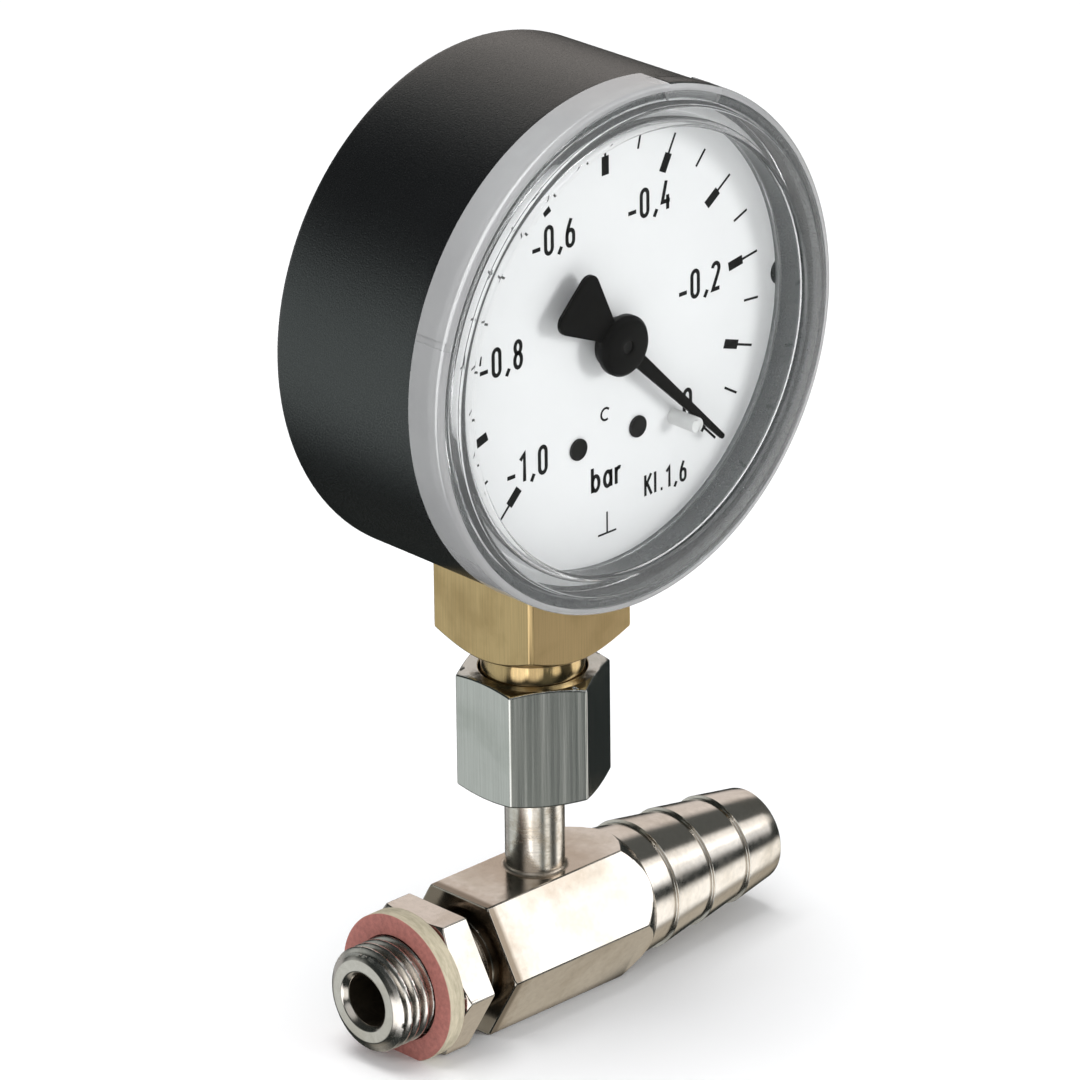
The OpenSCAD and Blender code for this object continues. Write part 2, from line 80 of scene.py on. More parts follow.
def make_camera():
    back = Vector((
        math.sin(AZIMUTH) * math.cos(ELEVATION),
        -math.cos(AZIMUTH) * math.cos(ELEVATION),
        math.sin(ELEVATION),
    ))
    right = Vector((math.cos(AZIMUTH), math.sin(AZIMUTH), 0))
    up = back.cross(right)
    side = right * math.cos(ROLL) + up * math.sin(ROLL)
    top = up * math.cos(ROLL) - right * math.sin(ROLL)
    data = bpy.data.cameras.new("camera")
    data.lens = LENS
    data.sensor_width = SENSOR
    data.clip_start = 0.05
    data.clip_end = 60
    camera = bpy.data.objects.new("camera", data)
    bpy.context.scene.collection.objects.link(camera)
    place = Vector((STEM_X, 0, AIM_HEIGHT)) + right * AIM_SIDE + back * DISTANCE
    turn = Matrix((side, top, back)).transposed().to_4x4()
    camera.matrix_world = Matrix.Translation(place) @ turn
    bpy.context.scene.camera = camera


# ---------------------------------------------------------------- node helpers


class Tree:
    """Builds the nodes of one material or world."""

    def __init__(self, owner):
        owner.use_nodes = True
        self.owner = owner
        self.nodes = owner.node_tree.nodes
        self.links = owner.node_tree.links

    def add(self, kind, inputs=None, **settings):
        node = self.nodes.new(kind)
        for key, value in settings.items():
            setattr(node, key, value)
        for key, value in (inputs or {}).items():
            self.put(node.inputs[key], value)
        return node

    def put(self, socket, value):
        if isinstance(value, bpy.types.NodeSocket):
            self.links.new(value, socket)
        elif hasattr(socket.default_value, "__len__") and len(socket.default_value) == 4:
            socket.default_value = (*value[:3], 1)
        else:
            socket.default_value = value

    def coords(self, scale):
        """Object coordinates in millimetres, times scale along each axis."""
        place = self.add("ShaderNodeTexCoord").outputs["Object"]
        scale = scale if isinstance(scale, tuple) else (scale, scale, scale)
        size = tuple(s / MM for s in scale)
        return self.add("ShaderNodeMapping", {"Vector": place, "Scale": size}).outputs["Vector"]

    def noise(self, scale, detail=3.0, rough=0.55, distortion=0.0):
        node = self.add("ShaderNodeTexNoise", {
            "Vector": self.coords(scale), "Scale": 1.0, "Detail": detail,
            "Roughness": rough, "Distortion": distortion,
        })
        return node.outputs["Fac"]

    def math(self, kind, a, b=0.0, clamp=False):
        node = self.add("ShaderNodeMath", operation=kind, use_clamp=clamp)
        self.put(node.inputs[0], a)
        self.put(node.inputs[1], b)
        return node.outputs[0]

    def span(self, value, lo, hi, to_lo=0.0, to_hi=1.0, smooth=False):
        """value, carried from the span lo to hi over to the span to_lo to to_hi and held there."""
        node = self.add("ShaderNodeMapRange", {
            "Value": value, "From Min": lo, "From Max": hi, "To Min": to_lo, "To Max": to_hi,
        }, interpolation_type="SMOOTHSTEP" if smooth else "LINEAR")
        return node.outputs["Result"]

    def mix(self, fac, a, b, blend="MIX"):
        node = self.add("ShaderNodeMix", data_type="RGBA", blend_type=blend, clamp_factor=False)
        self.put(node.inputs[0], fac)
        self.put(node.inputs[6], a)
        self.put(node.inputs[7], b)
        return node.outputs[2]

    def bump(self, height, depth, normal=None):
        """The normal of a surface that height shapes, depth in millimetres."""
        inputs = {"Height": height, "Distance": depth * MM, "Strength": 1.0}
        if normal is not None:
            inputs["Normal"] = normal
        return self.add("ShaderNodeBump", inputs).outputs["Normal"]

    def parts(self):
        """Object coordinates in millimetres, as X, Y and Z."""
        return self.add("ShaderNodeSeparateXYZ", {"Vector": self.coords(1.0)}).outputs

    def radius(self, a, b):
        """The length of two coordinates that stand at right angles."""
        squares = [self.math("MULTIPLY", x, x) for x in (a, b)]
        return self.math("SQRT", self.math("ADD", *squares))

    def dot(self, a, b):
        node = self.add("ShaderNodeVectorMath", operation="DOT_PRODUCT")
        self.put(node.inputs[0], a)
        self.put(node.inputs[1], b)
        return node.outputs["Value"]

    def mottle(self, shader, pattern, first, second):
        """Two colours of the shader, spread by a pattern."""
        self.put(shader.inputs["Base Color"], self.mix(pattern, first, second))


def material(name, build):
    made = bpy.data.materials.new(name)
    tree = Tree(made)
    build(tree, tree.nodes["Principled BSDF"])
    return made


# ---------------------------------------------------------------- light and floor

# Panels that only glossy rays see: direction, inner and outer half angle in degrees, colour,
# brightness. Most were set for the metal in the photo's view, some for the other views.
PANELS = [
    ((0.66, -0.68, 0.38), 13, 23, (1.0, 1.0, 1.0), 1.7),
    ((0.80, -0.36, 0.42), 5, 12, (1.0, 0.97, 0.93), 1.1),
    ((0.80, -0.40, -0.42), 8, 20, (1.0, 0.98, 0.94), 1.25),
    ((-0.70, 0.66, -0.24), 20, 36, (0.95, 1.0, 0.98), 0.60),
    ((0.60, 0.70, 0.36), 16, 28, (1.0, 0.90, 0.84), 0.72),
    ((-0.25, -0.88, -0.40), 16, 34, (0.93, 1.0, 0.96), 0.125),
    ((0.62, 0.02, -0.78), 11, 20, (1.0, 0.90, 0.74), 0.46),
    ((-0.72, -0.45, 0.52), 14, 34, (1.0, 1.0, 1.0), 0.55),
    ((0.55, -0.72, -0.42), 8, 18, (1.0, 0.98, 0.94), 0.06),
    ((-0.89, -0.22, -0.40), 13, 24, (1.0, 1.0, 1.0), 1.5),
    ((0.08, -0.91, -0.40), 5, 14, (1.0, 0.98, 0.93), 1.0),
    ((0.80, 0.15, 0.52), 12, 30, (1.0, 1.0, 0.95), 0.07),
    ((0.20, 0.71, 0.67), 6, 14, (1.0, 0.98, 0.95), 0.3),
    ((0.0, 0.97, -0.26), 10, 22, (1.0, 1.0, 1.0), 0.4),
    ((0.0, 0.26, -0.97), 12, 26, (1.0, 0.95, 0.85), 0.3),
    ((0.28, -0.60, 0.75), 10, 24, (1.0, 1.0, 1.0), 0.9),
    ((-0.64, -0.66, -0.40), 10, 24, (1.0, 0.98, 0.95), 0.85),
]


def make_world():
    world = bpy.data.worlds.new("studio")
    bpy.context.scene.world = world
    tree = Tree(world)
    tree.nodes.clear()
    way = tree.add("ShaderNodeTexCoord").outputs["Generated"]
    total = (0.022, 0.026, 0.025)
    for direction, inner, outer, colour, power in PANELS:
        toward = tuple(Vector(direction).normalized())
        near = math.cos(math.radians(inner))
        far = math.cos(math.radians(outer))
        glow = tree.span(tree.dot(way, toward), far, near, 0.0, power, smooth=True)
        total = tree.mix(1.0, total, tree.mix(glow, (0, 0, 0), colour), "ADD")
    path = tree.add("ShaderNodeLightPath")
    gloss = tree.add("ShaderNodeBackground", {"Color": total, "Strength": 1.0})
    soft = tree.add("ShaderNodeBackground", {"Color": (0.97, 0.98, 1.0), "Strength": 0.50})
    pale = tree.add("ShaderNodeBackground", {"Color": (0.93, 0.93, 0.93), "Strength": 1.0})
    mirrored = tree.math(
        "SUBTRACT", path.outputs["Is Glossy Ray"], path.outputs["Is Transmission Ray"], clamp=True)
    unseen = tree.add("ShaderNodeMixShader", {0: mirrored, 1: soft.outputs[0], 2: gloss.outputs[0]})
    shown = tree.add("ShaderNodeMixShader", {
        0: path.outputs["Is Camera Ray"], 1: unseen.outputs[0], 2: pale.outputs[0],
    })
    tree.add("ShaderNodeOutputWorld", {"Surface": shown.outputs[0]})


def area_light(name, direction, distance, size, power):
    data = bpy.data.lights.new(name, "AREA")
    data.shape = "DISK"
    data.size = size
    data.energy = power
    lamp = bpy.data.objects.new(name, data)
    bpy.context.scene.collection.objects.link(lamp)
    toward = Vector(direction).normalized()
    lamp.location = Vector((STEM_X, 0, AIM_HEIGHT)) + toward * distance
    lamp.rotation_mode = "QUATERNION"
    lamp.rotation_quaternion = toward.to_track_quat("Z", "Y")
    lamp.visible_glossy = False


def paper(tree, shader):
    grain = tree.noise(0.02, 2)
    tree.mottle(shader, grain, (0.90, 0.90, 0.90), (0.93, 0.93, 0.93))
    shader.inputs["Roughness"].default_value = 0.9
    shader.inputs["Specular IOR Level"].default_value = 0.1


def make_floor():
    bm = bmesh.new()
    bmesh.ops.create_circle(bm, cap_ends=True, segments=96, radius=FLOOR_R)
    mesh = bpy.data.meshes.new("floor")
    bm.to_mesh(mesh)
    floor = bpy.data.objects.new("floor", mesh)
    bpy.context.scene.collection.objects.link(floor)
    floor.location.z = FLOOR_Z - FLOOR_GAP
    floor.visible_glossy = False
    mesh.materials.append(material("floor_paper", paper))


make_camera()
make_world()
# Direction, distance and diameter in metres, power in watts
area_light("key", (0.32, -0.90, 0.20), 0.9, 0.32, 3.7)
area_light("top", (-0.1, 0.05, 1.0), 1.0, 0.8, 9.0)
area_light("fill", (-0.8, -0.5, 0.45), 1.0, 0.7, 2.2)
make_floor()
bpy.context.scene.view_settings.view_transform = "Standard"

# ---------------------------------------------------------------- materials


def highlight_mask(tree, radius):
    """Near 1 along outer edges, where a rounded normal parts from the true one: the mask of a
    painted highlight.
    """
    rounded = tree.add("ShaderNodeBevel", {"Radius": radius * MM}, samples=4).outputs["Normal"]
    true = tree.add("ShaderNodeNewGeometry").outputs["Normal"]
    return tree.span(tree.dot(rounded, true), 0.995, 0.93)


def metal(name, colour, stain, rough, grain, depth, cloud=0.12, edge=0.25, rough_spread=0.08,
          wave=0.3, wave_depth=0.0, streak=0.22, tint=None, shine=None):
    """A machined metal: its colour, its colour where stained, roughness, the scale of the tool
    marks along X, Y and Z and their depth in millimetres. Then the scale of the stains, how far a
    painted highlight lightens the edges and how much rougher the stains; the scale and depth of a
    slow waviness; how dark the tool marks are; and functions that tint the colour further, with
    stains and painted shade, and scale the roughness."""
    dark = tuple(c * 0.62 for c in colour)
    # A lighter copy of the colour, for a painted highlight along the edges.
    light = tuple(min(1, c * 1.25) for c in colour)

    def build(tree, shader):
        marks = tree.noise(grain, 4, 0.6)
        blot = tree.span(tree.noise(cloud, 4, 0.6, 0.3), 0.42, 0.68, smooth=True)
        base = tree.mix(blot, colour, stain)
        base = tree.mix(tree.span(marks, 0.3, 0.7, 0.0, streak), base, dark)
        if tint:
            base = tint(tree, base)
        # Painted highlight: the edges are mixed toward the lighter copy of the colour.
        edges = tree.math("MULTIPLY", highlight_mask(tree, 0.25), edge)
        tree.mottle(shader, edges, base, light)
        shader.inputs["Metallic"].default_value = 1.0
        wear = tree.math("ADD", tree.span(blot, 0, 1, 0, rough_spread),
                         tree.span(marks, 0.3, 0.7, rough - 0.03, rough + 0.04))
        if shine:
            wear = tree.math("MULTIPLY", wear, shine(tree))
        tree.put(shader.inputs["Roughness"], wear)
        normal = tree.bump(marks, depth)
        if wave_depth:
            normal = tree.bump(tree.noise(wave, 1), wave_depth, normal)
        tree.put(shader.inputs["Normal"], normal)
    return material(name, build)


def painted_gap_shade(tree, base, reach, strength):
    """Painted shade where other surfaces stand within reach, in millimetres: ambient occlusion
    mixes a dark brown into the colour.
    """
    open_air = tree.add("ShaderNodeAmbientOcclusion", {"Distance": reach * MM}, samples=4)
    shade_fac = tree.span(open_air.outputs["AO"], 0.2, 0.75, strength, 0.0)
    return tree.mix(shade_fac, base, (0.10, 0.075, 0.055))


def stains_and_shade(tree, base):
    """Brownish stains around the foot of the stem and at the end of the block, a painted shade that
    darkens the chamfer just past the lock nut, and painted shade in crevices.
    """
    parts = tree.parts()
    radius = tree.radius(tree.math("ADD", parts["X"], -STEM_X / MM), parts["Y"])
    ragged = tree.math("MULTIPLY", tree.noise(0.45, 5, 0.65), 6.0)
    on_top = tree.span(parts["Z"], 5.6, 7.2)
    foot = tree.math("MULTIPLY", tree.span(tree.math("ADD", radius, ragged), 13.0, 8.5), on_top)
    inward = tree.math("ADD", parts["X"], -BLOCK_X)
    near_end = tree.span(tree.math("SUBTRACT", inward, ragged), 3.6, 0.8)
    on_block = tree.span(inward, 0.2, 0.4)
    stained = tree.math("MULTIPLY", tree.math("MAXIMUM", foot, near_end),
                        tree.math("MULTIPLY", on_block, 0.6))
    base = tree.mix(stained, base, (0.46, 0.37, 0.28))
    # Painted shade: the chamfer just past the lock nut is darkened nearly to black.
    past_nut_shade = tree.math("MULTIPLY", tree.span(inward, 4.9, 4.3), on_block)
    base = tree.mix(tree.math("MULTIPLY", past_nut_shade, 0.8), base, (0.17, 0.13, 0.09))
    return painted_gap_shade(tree, base, 1.6, 0.85)


# Painted shade in the crevices by the thread.
def shade_by_thread(tree, base):
    return painted_gap_shade(tree, base, 0.9, 0.9)


# Painted shade in the crevices near the union nut, on the brass neck.
def shade_by_nut(tree, base):
    return painted_gap_shade(tree, base, 4.5, 0.9)


def turned_neck(tree):
    """The turned neck below the square is smoother than the square's brushed faces."""
    return tree.span(tree.parts()["Z"], NUT_TOP + 2.0, NUT_TOP + 3.0, 0.4, 1.0)


tee_metal = metal(
    "tee_nickel", (0.84, 0.79, 0.73), (0.72, 0.66, 0.58), 0.14, (1.2, 1.2, 1.2), 0.003,
    cloud=0.10, edge=0.6, rough_spread=0.09, tint=stains_and_shade)
lock_metal = metal(
    "lock_nickel", (0.86, 0.80, 0.74), (0.74, 0.67, 0.59), 0.17, (1.2, 1.2, 1.2), 0.003,
    cloud=0.10, edge=0.6, tint=shade_by_thread)
nut_metal = metal(
    "nut_nickel", (0.70, 0.71, 0.68), (0.60, 0.62, 0.58), 0.16, (4, 4, 0.08), 0.006,
    cloud=0.09, edge=0.6, wave=(0.75, 0.75, 0.02), wave_depth=0.04, streak=0.35)
tube_metal = metal(
    "tube_nickel", (0.88, 0.83, 0.76), (0.70, 0.61, 0.50), 0.20, (0.25, 0.25, 7), 0.012,
    cloud=0.5, streak=0.5)
thread_metal = metal(
    "thread_nickel", (0.92, 0.88, 0.82), (0.80, 0.75, 0.68), 0.20, (2, 2, 2), 0.001,
    cloud=0.15, tint=shade_by_thread)
# Painted shade: the bore walls get a dark brown colour for the shade inside the bore.
shaded_bore = metal(
    "bore_painted_dark", (0.24, 0.20, 0.15), (0.12, 0.10, 0.08), 0.45, (0.6, 6, 6), 0.01, cloud=0.3)
braze = metal(
    "braze", (0.70, 0.62, 0.53), (0.46, 0.38, 0.29), 0.36, (2, 2, 2), 0.03, cloud=0.5)
brass = metal(
    "brushed_brass", (0.79, 0.58, 0.29), (0.67, 0.48, 0.23), 0.32, (6, 6, 0.12), 0.008,
    streak=0.45, tint=shade_by_nut, shine=turned_neck)
small_brass = metal(
    "movement_brass", (0.76, 0.56, 0.27), (0.64, 0.45, 0.2), 0.3, (3, 3, 3), 0.004)
bronze = metal("spring_bronze", (0.74, 0.47, 0.24), (0.55, 0.33, 0.17), 0.28, (2, 2, 2), 0.003)
steel = metal("screw_steel", (0.62, 0.62, 0.62), (0.45, 0.44, 0.43), 0.3, (3, 3, 3), 0.004)
dark_steel = metal("dark_steel", (0.07, 0.07, 0.07), (0.05, 0.05, 0.05), 0.45, (3, 3, 3), 0.004)


def black_plastic(tree, shader):
    grain = tree.noise(4.5, 3, 0.6)
    cloud = tree.noise(0.06, 3)
    tree.mottle(shader, cloud, (0.004, 0.004, 0.0045), (0.008, 0.008, 0.0085))
    tree.put(shader.inputs["Roughness"], tree.span(grain, 0.3, 0.7, 0.22, 0.38))
    tree.put(shader.inputs["Normal"], tree.bump(grain, 0.045))
    shader.inputs["Specular IOR Level"].default_value = 1.0
    shader.inputs["Specular Tint"].default_value = (0.92, 1.0, 1.0, 1)


def white_print(tree, shader):
    tree.mottle(shader, tree.noise(0.2, 3), (0.80, 0.80, 0.80), (0.83, 0.83, 0.83))
    shader.inputs["Roughness"].default_value = 0.5


def fibre(tree, shader):
    """Red fibre round the port and a cream edge round the red."""
    parts = tree.parts()
    outer = tree.span(tree.radius(parts["Y"], parts["Z"]), 9.28, 9.33)
    spots = tree.noise(1.6, 5, 0.7)
    strands = tree.noise((2.5, 0.5, 0.5), 4, 0.7)
    red = tree.mix(tree.span(spots, 0.35, 0.7), (0.50, 0.19, 0.16), (0.33, 0.125, 0.105))
    cream = tree.mix(tree.span(strands, 0.35, 0.7), (0.56, 0.50, 0.37), (0.36, 0.32, 0.23))
    tree.mottle(shader, outer, red, cream)
    shader.inputs["Roughness"].default_value = 0.75
    tree.put(shader.inputs["Normal"], tree.bump(tree.mix(outer, spots, strands), 0.05))


def clear_plastic(tree, shader):
    haze = tree.noise(0.5, 3)
    shader.inputs["Transmission Weight"].default_value = 0.94
    shader.inputs["IOR"].default_value = 1.49
    tree.mottle(shader, haze, (0.97, 0.98, 0.98), (0.93, 0.94, 0.94))
    tree.put(shader.inputs["Roughness"], tree.span(haze, 0.3, 0.7, 0.02, 0.08))


def thin_pane(tree, shader):
    """The flat pane: clear, with a mirror's gloss where it is seen at a slant."""
    clear = tree.add("ShaderNodeBsdfTransparent", {"Color": (0.965, 0.97, 0.97)})
    haze = tree.noise(0.3, 3)
    gloss = tree.add("ShaderNodeBsdfGlossy", {
        "Color": (1, 1, 1), "Roughness": tree.span(haze, 0.3, 0.7, 0.01, 0.05),
    })
    slant = tree.add("ShaderNodeFresnel", {"IOR": 1.24})
    inside = tree.add("ShaderNodeNewGeometry").outputs["Backfacing"]
    share = tree.math("MULTIPLY", slant.outputs[0], tree.math("SUBTRACT", 1.0, inside))
    both = tree.add("ShaderNodeMixShader", {0: share, 1: clear.outputs[0], 2: gloss.outputs[0]})
    tree.put(tree.nodes["Material Output"].inputs["Surface"], both.outputs[0])
    tree.nodes.remove(shader)


def cloudy_plastic(tree, shader):
    """The thick rim, where the moulded plastic looks milky."""
    haze = tree.noise(0.35, 4, 0.6)
    tree.mottle(shader, haze, (0.88, 0.88, 0.88), (0.80, 0.80, 0.81))
    shader.inputs["Transmission Weight"].default_value = 0.66
    shader.inputs["IOR"].default_value = 1.49
    tree.put(shader.inputs["Roughness"], tree.span(haze, 0.3, 0.7, 0.05, 0.12))


def ink(tree, shader):
    tree.mottle(shader, tree.noise(2.0, 4), (0.003, 0.003, 0.003), (0.009, 0.009, 0.009))
    shader.inputs["Roughness"].default_value = 0.5
    shader.inputs["Specular IOR Level"].default_value = 0.2


def pointer_paint(tree, shader):
    grain = tree.noise(4.0, 3)
    tree.mottle(shader, grain, (0.002, 0.002, 0.002), (0.004, 0.004, 0.004))
    tree.put(shader.inputs["Roughness"], tree.span(grain, 0.3, 0.7, 0.34, 0.46))
    tree.put(shader.inputs["Normal"], tree.bump(grain, 0.003))
    shader.inputs["Specular IOR Level"].default_value = 0.10


def milky(tree, shader):
    tree.mottle(shader, tree.noise(0.8, 3), (0.90, 0.90, 0.89), (0.82, 0.82, 0.81))
    shader.inputs["Transmission Weight"].default_value = 0.25
    shader.inputs["Roughness"].default_value = 0.35
    shader.inputs["IOR"].default_value = 1.5


def rubber(tree, shader):
    grain = tree.noise(2.0, 4)
    tree.mottle(shader, grain, (0.03, 0.028, 0.026), (0.06, 0.055, 0.05))
    shader.inputs["Roughness"].default_value = 0.75
    tree.put(shader.inputs["Normal"], tree.bump(grain, 0.02))


case_black = material("case_black", black_plastic)
dial_white = material("dial_white", white_print)
seal_fibre = material("seal_fibre", fibre)
clear_rim = material("clear_rim", clear_plastic)
milky_rim = material("milky_rim", cloudy_plastic)
clear_pane = material("clear_pane", thin_pane)
ink_black = material("ink_black", ink)
pointer_black = material("pointer_black", pointer_paint)
pin_white = material("pin_white", milky)
gasket_rubber = material("gasket_rubber", rubber)

# ---------------------------------------------------------------- mesh helpers


def on_gauge(u, v, f):
    """A point on the gauge: u to the right, v up, f forward of the stem, in millimetres."""
    return Vector((STEM_X + u * MM, -f * MM, GAUGE_Z + v * MM))


def on_gauge_axis(r, f, angle):
    return on_gauge(r * math.cos(angle), r * math.sin(angle), f)


def on_tee_axis(r, x, angle):
    return Vector((x * MM, r * math.cos(angle) * MM, r * math.sin(angle) * MM))


def arc(cx, cy, rx, ry, start, end, steps):
    """Points on part of an ellipse, from one angle in degrees to another."""
    turns = [math.radians(start + (end - start) * i / steps) for i in range(steps + 1)]
    return [(cx + rx * math.cos(t), cy + ry * math.sin(t)) for t in turns]


def make_object(name, bm, mats, sharp=30):
    """A bmesh as an object, with smooth faces that meet in sharp edges above the angle."""
    bmesh.ops.recalc_face_normals(bm, faces=bm.faces)
    mesh = bpy.data.meshes.new(name)
    bm.to_mesh(mesh)
    bm.free()
    mesh.shade_smooth()
    mesh.set_sharp_from_angle(angle=math.radians(sharp))
    for mat in mats:
        mesh.materials.append(mat)
    obj = bpy.data.objects.new(name, mesh)
    bpy.context.scene.collection.objects.link(obj)
    return obj


def lathe(place, columns, closed):
    """A turned shape. Each column is an angle and its own profile of (radius, distance) points.
    A closed profile joins its last point to its first; an open one ends on the axis twice."""
    bm = bmesh.new()
    rings = []
    for angle, profile in columns:
        rings.append([bm.verts.new(place(r, d, angle)) for r, d in profile])
    count = len(rings[0])
    steps = count if closed else count - 1
    for i, ring in enumerate(rings):
        after = rings[(i + 1) % len(rings)]
        for j in range(steps):
            k = (j + 1) % count
            bm.faces.new((ring[j], ring[k], after[k], after[j]))
    bmesh.ops.remove_doubles(bm, verts=bm.verts, dist=1e-7)
    return bm


def turns(count):
    return [2 * math.pi * i / count for i in range(count)]


def ribbon(bm, place, points, width, low, high, closed=False):
    """A flat stroke of that width along points, from height low to height high."""
    count = len(points)
    flat = [Vector(p) for p in points]
    rows = []
    for i, here in enumerate(flat):
        before = flat[i - 1] if closed or i else None
        after = flat[(i + 1) % count] if closed or i < count - 1 else None
        into = (here - before).normalized() if before is not None else None
        away = (after - here).normalized() if after is not None else None
        into = into or away
        away = away or into
        along = (into + away).normalized()
        across = Vector((-along.y, along.x))
        half = width / 2 / max(0.5, along.dot(away))
        left, right = here + across * half, here - across * half
        corners = (left, low), (right, low), (right, high), (left, high)
        rows.append([bm.verts.new(place(*spot, height)) for spot, height in corners])
    for i in range(count if closed else count - 1):
        a, b = rows[i], rows[(i + 1) % count]
        for j in range(4):
            k = (j + 1) % 4
            bm.faces.new((a[j], a[k], b[k], b[j]))
    if not closed:
        bm.faces.new(rows[0])
        bm.faces.new(rows[-1][::-1])


# ---------------------------------------------------------------- CAD nodes that keep their shape


def bevel_edges(obj, width, segments, limit):
    bevel = obj.modifiers.new("bevel", "BEVEL")
    bevel.width = width * MM
    bevel.segments = segments
    bevel.limit_method = limit
    bevel.use_clamp_overlap = False
    return bevel


def finish_node(name, mat, width=0.0, segments=2):
    """Gives a CAD node its material and, where width is set, softened edges."""
    obj = nodes[name]
    for slot in obj.material_slots:
        slot.link = "OBJECT"
        slot.material = mat
    if width:
        weld = obj.modifiers.new("weld", "WELD")
        weld.merge_threshold = 1e-6
        bevel = bevel_edges(obj, width, segments, "ANGLE")
        bevel.angle_limit = math.radians(35)
        bevel.harden_normals = True


finish_node("lock_nut", lock_metal, 0.12)
finish_node("union_nut", nut_metal, 0.22, 3)
finish_node("stem_tube", tube_metal)
finish_node("gauge_socket", brass, 0.15)
finish_node("case_shell", case_black, 0.15)
finish_node("dial", dial_white)
finish_node("pointer", pointer_black, 0.06)
finish_node("seal_ring", seal_fibre, 0.12)
finish_node("braze_fillet", braze)
finish_node("dial_screws", dark_steel, 0.05)
finish_node("stop_pin", pin_white, 0.1)
finish_node("case_screws", steel, 0.08)
finish_node("flat_gasket", gasket_rubber)
for name in ("thrust_washer", "dial_spacers", "movement_back_plate", "movement_front_plate",
             "movement_pillars", "sector_gear", "tube_tip", "link_bar", "hairspring_collet",
             "hairspring_stud"):
    finish_node(name, small_brass)
for name in ("sector_arbor", "sector_pin", "tip_pin", "pillar_screws", "movement_screws"):
    finish_node(name, steel)
for name in ("hairspring", "bourdon_tube"):
    finish_node(name, bronze)
finish_node("pinion_arbor", dark_steel)

# ---------------------------------------------------------------- tee with a cut thread

PITCH = 1.337
THREAD_R = 6.58
THREAD_TOP = THREAD_R + 0.01
THREAD_DEPTH = 0.856
CUTTER_R = THREAD_R + 1.2
CUTTER_STEP = 0.07
BORE_WALL_R = 4.3
THREAD_END = BLOCK_X + 2.2


def thread_radius(x, angle):
    """Radius of a 55 degree thread with rounded crests and roots, in millimetres."""
    phase = (x / PITCH - angle / (2 * math.pi)) % 1.0
    slope = abs(2 * phase - 1)
    eased = 0.5 - 0.5 * math.cos(math.pi * min(1, max(0, (slope - 0.07) / 0.86)))
    lean = 0.72 * min(1, max(0, (slope - 0.12) / 0.76)) + 0.28 * eased
    return THREAD_TOP - THREAD_DEPTH * lean


def thread_cutter(x0, x1):
    """What a die takes away between x0 and x1."""
    steps = round((x1 - x0) / CUTTER_STEP)
    stations = [x0 + (x1 - x0) * i / steps for i in range(steps + 1)]
    columns = []
    for angle in turns(144):
        profile = [(thread_radius(x, angle), x) for x in stations]
        columns.append((angle, profile + [(CUTTER_R, x1), (CUTTER_R, x0)]))
    return lathe(on_tee_axis, columns, True)


def solid_copy(name, node, width, fine_from):
    """A CAD node's shape as a new object, with softened edges, less so beyond x = fine_from."""
    mesh = nodes[node].data.copy()
    bm = bmesh.new()
    bm.from_mesh(mesh)
    bmesh.ops.remove_doubles(bm, verts=bm.verts, dist=1e-6)
    weights = bm.edges.layers.float.new("bevel_weight_edge")
    for edge in bm.edges:
        if len(edge.link_faces) == 2 and edge.calc_face_angle() > math.radians(33):
            middle = (edge.verts[0].co.x + edge.verts[1].co.x) / 2
            edge[weights] = 0.35 if middle > fine_from * MM else 1.0
    bm.to_mesh(mesh)
    bm.free()
    obj = bpy.data.objects.new(name, mesh)
    bpy.context.scene.collection.objects.link(obj)
    bevel_edges(obj, width, 2, "WEIGHT")
    return obj


def apply_modifiers(obj):
    graph = bpy.context.evaluated_depsgraph_get()
    made = bpy.data.meshes.new_from_object(obj.evaluated_get(graph))
    obj.modifiers.clear()
    obj.data = made


def crease_beyond(mesh, x, degrees):
    """Beyond x the flats and cones meet at small angles, and still in crisp edges."""
    bm = bmesh.new()
    bm.from_mesh(mesh)
    for edge in bm.edges:
        if len(edge.link_faces) == 2 and min(v.co.x for v in edge.verts) > x * MM:
            if edge.calc_face_angle() > math.radians(degrees):
                edge.smooth = False
    bm.to_mesh(mesh)
    bm.free()


def make_tee():
    tee = solid_copy("tee", "tee_body", 0.15, STEM_X / MM + 12)
    apply_modifiers(tee)
    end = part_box("tee_body")[0].x / MM
    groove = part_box("seal_ring")[0].x / MM
    cutters = [
        make_object("cutter", thread_cutter(x0, x1), [])
        for x0, x1 in ((end - 0.5, groove + 0.25), (groove + 2.5, THREAD_END))
    ]
    for cutter in cutters:
        cut = tee.modifiers.new("thread", "BOOLEAN")
        cut.operation = "DIFFERENCE"
        cut.solver = "EXACT"
        cut.object = cutter
    apply_modifiers(tee)
    for cutter in cutters:
        bpy.data.objects.remove(cutter)
    tee.data.materials.clear()
    for mat in (tee_metal, thread_metal, shaded_bore):
        tee.data.materials.append(mat)
    for face in tee.data.polygons:
        off_axis = math.hypot(face.center.y, face.center.z) / MM
        on_thread = THREAD_TOP - THREAD_DEPTH - 0.06 < off_axis < THREAD_TOP + 0.02
        if on_thread and face.center.x < THREAD_END * MM:
            face.material_index = 1
        # The bore walls take the painted shade.
        elif off_axis < BORE_WALL_R and abs(face.normal.x) < 0.3:
            face.material_index = 2
    tee.data.shade_smooth()
    tee.data.set_sharp_from_angle(angle=math.radians(32))
    crease_beyond(tee.data, BLOCK_X + 2.4, 11)
    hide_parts("tee_body")
    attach(tee, "tee")


make_tee()

# ---------------------------------------------------------------- window

# Angles in degrees, anticlockwise from the dial's right
NOTCH = 72
NOTCH_HALF = 8.0
SEAM = 163
SEAM_HALF = 0.8
# Measures in millimetres
PANE_R = 27.3
PANE_DEPTH = 1.3
PANE_SINK = 0.35
SKIRT_IN = 28.1
SKIRT_OUT = 29.6
MILKY_FROM = 31.3


